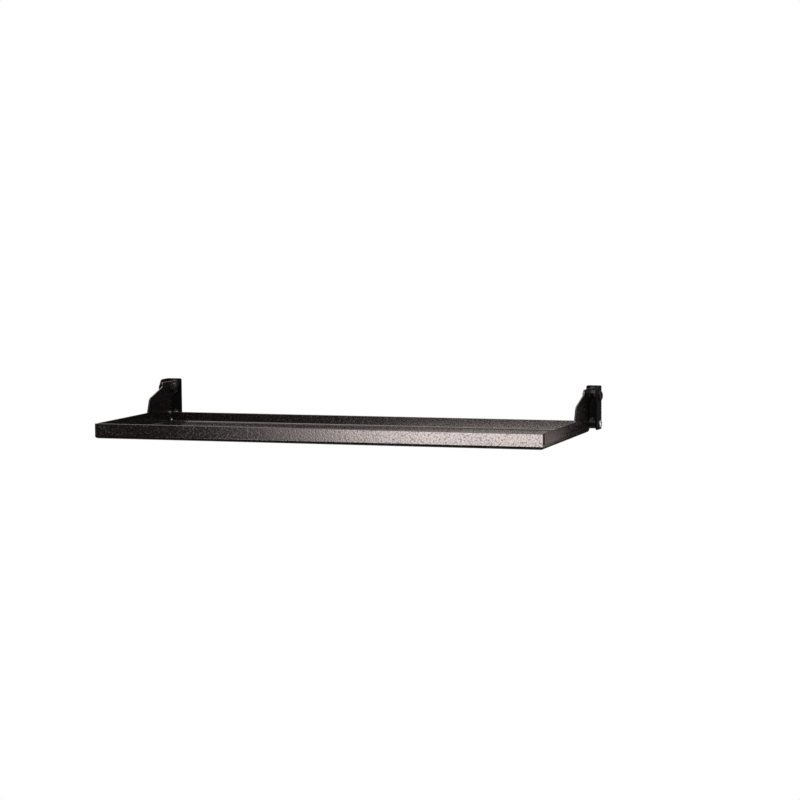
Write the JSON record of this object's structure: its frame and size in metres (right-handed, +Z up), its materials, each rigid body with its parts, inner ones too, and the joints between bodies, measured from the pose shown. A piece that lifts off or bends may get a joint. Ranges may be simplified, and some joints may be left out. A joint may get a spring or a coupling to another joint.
{
  "type": "folding rack keyboard tray",
  "caption": "Shallow black sheet-steel keyboard tray that hangs by two ears between 19 inch rack rail brackets and folds up against the rack.",
  "frame": {"origin": "centre of the four rack screws on the face of the rack rails", "axes": "+X to the right seen from the front, +Y into the rack, +Z up; the tray stands out along -Y"},
  "size_m": [0.4892, 0.2117, 0.0465],
  "materials": {
    "tray_powder_coat": "black powder coat with a pebbled texture and a warm sheen",
    "bracket_enamel": "smooth matt black stoved enamel",
    "zinc_plated_steel": "bright zinc plate",
    "black_oxide_steel": "black oxide, satin",
    "black_acetal": "moulded black acetal"
  },
  "bodies": {
    "rail_brackets": {"left_lower_rack_screw": "black_oxide_steel", "left_lower_rack_washer": "black_acetal", "left_pivot_bolt": "black_oxide_steel", "left_pivot_nut": "black_oxide_steel", "left_pivot_spacer": "black_oxide_steel", "left_pivot_washer": "black_oxide_steel", "left_rail_bracket": "bracket_enamel", "left_stop_bolt": "zinc_plated_steel", "left_stop_nut": "zinc_plated_steel", "left_stop_sleeve": "black_acetal", "left_upper_rack_screw": "black_oxide_steel", "left_upper_rack_washer": "black_acetal", "right_lower_rack_screw": "black_oxide_steel", "right_lower_rack_washer": "black_acetal", "right_pivot_bolt": "black_oxide_steel", "right_pivot_nut": "black_oxide_steel", "right_pivot_spacer": "black_oxide_steel", "right_pivot_washer": "black_oxide_steel", "right_rail_bracket": "bracket_enamel", "right_stop_bolt": "zinc_plated_steel", "right_stop_nut": "zinc_plated_steel", "right_stop_sleeve": "black_acetal", "right_upper_rack_screw": "black_oxide_steel", "right_upper_rack_washer": "black_acetal"},
    "tray": {"tray_pan": "tray_powder_coat", "left_pivot_bush": "black_acetal", "right_pivot_bush": "black_acetal"}
  },
  "joints": [
    {"name": "fold", "type": "hinge", "parent": "rail_brackets", "child": "tray", "pos_m": [0, -0.014, 0.0125], "axis": [-1, 0, 0], "range_deg": [0, 90]}
  ]
}
